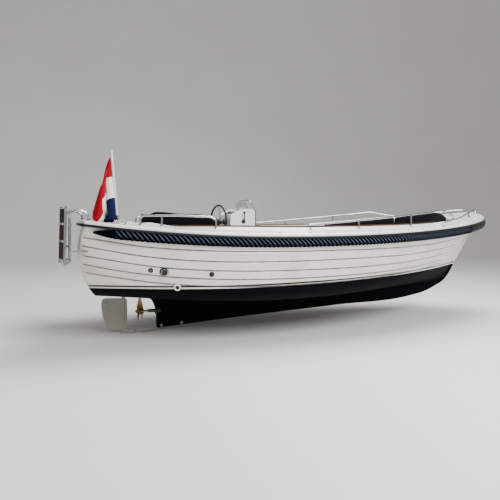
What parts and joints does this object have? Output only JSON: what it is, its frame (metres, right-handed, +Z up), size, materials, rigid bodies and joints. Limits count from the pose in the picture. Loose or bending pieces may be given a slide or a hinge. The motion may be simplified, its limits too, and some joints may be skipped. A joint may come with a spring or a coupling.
{
  "type": "side console launch",
  "caption": "Open displacement launch with a clinker-look hull, rope fender, side console, inboard engine box, keel with propeller and rudder, U-shaped seats and a folding stern ladder.",
  "frame": {"origin": "on the centreline at the waterline, 2.75 m forward of the transom corner", "axes": "+X to the bow, +Y to port, +Z up"},
  "size_m": [5.7691, 2.0954, 1.951],
  "materials": {
    "hull_gelcoat": "glossy off-white gelcoat, dark navy bottom paint below the boot line",
    "deck_gelcoat": "glossy white gelcoat",
    "sole_gelcoat": "grey non-slip gelcoat",
    "fender_rubber": "navy rubber fender",
    "cushion_fabric": "navy outdoor upholstery",
    "stainless": "polished stainless steel",
    "ladder_teak": "polished stainless tube with oiled hardwood steps",
    "teak": "oiled teak",
    "black_plastic": "black moulded plastic",
    "bronze": "cast bronze",
    "engine_paint": "enamel paint",
    "clear_acrylic": "clear acrylic",
    "staff_paint": "white paint",
    "flag_cloth": "woven flag cloth"
  },
  "bodies": {
    "boat": {"hull": "hull_gelcoat", "aft_bulkhead": "hull_gelcoat", "bow_bulkhead": "hull_gelcoat", "aft_deck": "deck_gelcoat", "foredeck": "deck_gelcoat", "side_deck_port": "deck_gelcoat", "side_deck_starboard": "deck_gelcoat", "aft_bench": "deck_gelcoat", "bow_bench": "deck_gelcoat", "console": "deck_gelcoat", "cockpit_sole": "sole_gelcoat", "fender_band": "fender_rubber", "bow_fender": "fender_rubber", "rope_fender_port": "fender_rubber", "rope_fender_starboard": "fender_rubber", "aft_seat_cushion": "cushion_fabric", "bow_seat_cushion": "cushion_fabric", "aft_back_cushion_port": "cushion_fabric", "aft_back_cushion_starboard": "cushion_fabric", "bow_back_cushion_port": "cushion_fabric", "bow_back_cushion_starboard": "cushion_fabric", "aft_rail_port": "stainless", "aft_rail_starboard": "stainless", "bow_seat_rail_port": "stainless", "bow_seat_rail_starboard": "stainless", "bow_handrail_port": "stainless", "bow_handrail_starboard": "stainless", "cleat_port": "stainless", "cleat_starboard": "stainless", "console_hoop": "stainless", "exhaust_outlet": "stainless", "heel_bar": "stainless", "ladder_frame": "stainless", "towing_eye": "stainless", "throttle": "stainless", "teak_cap_port": "teak", "teak_cap_starboard": "teak", "instrument_panel": "black_plastic", "helm_bezel": "black_plastic", "stern_tube": "bronze", "engine": "engine_paint", "windscreen": "clear_acrylic", "flagstaff": "staff_paint", "flag": "flag_cloth"},
    "propeller": {"propeller": "bronze"},
    "rudder": {"rudder": "stainless"},
    "wheel": {"steering_wheel": "black_plastic"},
    "ladder_steps": {"ladder_steps": "ladder_teak"},
    "engine_box": {"engine_box": "deck_gelcoat"}
  },
  "joints": [
    {"name": "propeller_spin", "type": "hinge", "parent": "boat", "child": "propeller", "pos_m": [-2.11, 0, -0.322], "axis": [1, 0, 0], "continuous": true},
    {"name": "rudder_turn", "type": "hinge", "parent": "boat", "child": "rudder", "pos_m": [-2.275, 0, -0.3], "axis": [0, 0, 1], "range_deg": [-35, 35]},
    {"name": "wheel_turn", "type": "hinge", "parent": "boat", "child": "wheel", "pos_m": [-1.06, 0.5, 0.672], "axis": [0.9781, 0.2079, 0], "range_deg": [-525, 525]},
    {"name": "ladder_fold", "type": "hinge", "parent": "boat", "child": "ladder_steps", "pos_m": [-2.88124, -0.62876, 0.275], "axis": [0.1564, -0.9877, 0], "range_deg": [0, 175]},
    {"name": "engine_box_tilt", "type": "hinge", "parent": "boat", "child": "engine_box", "pos_m": [-0.67, 0, 0.0403], "axis": [0, 1, 0], "range_deg": [0, 50]}
  ],
  "couplings": [
    {"joint": "wheel_turn", "follows": "rudder_turn", "ratio": 15}
  ]
}
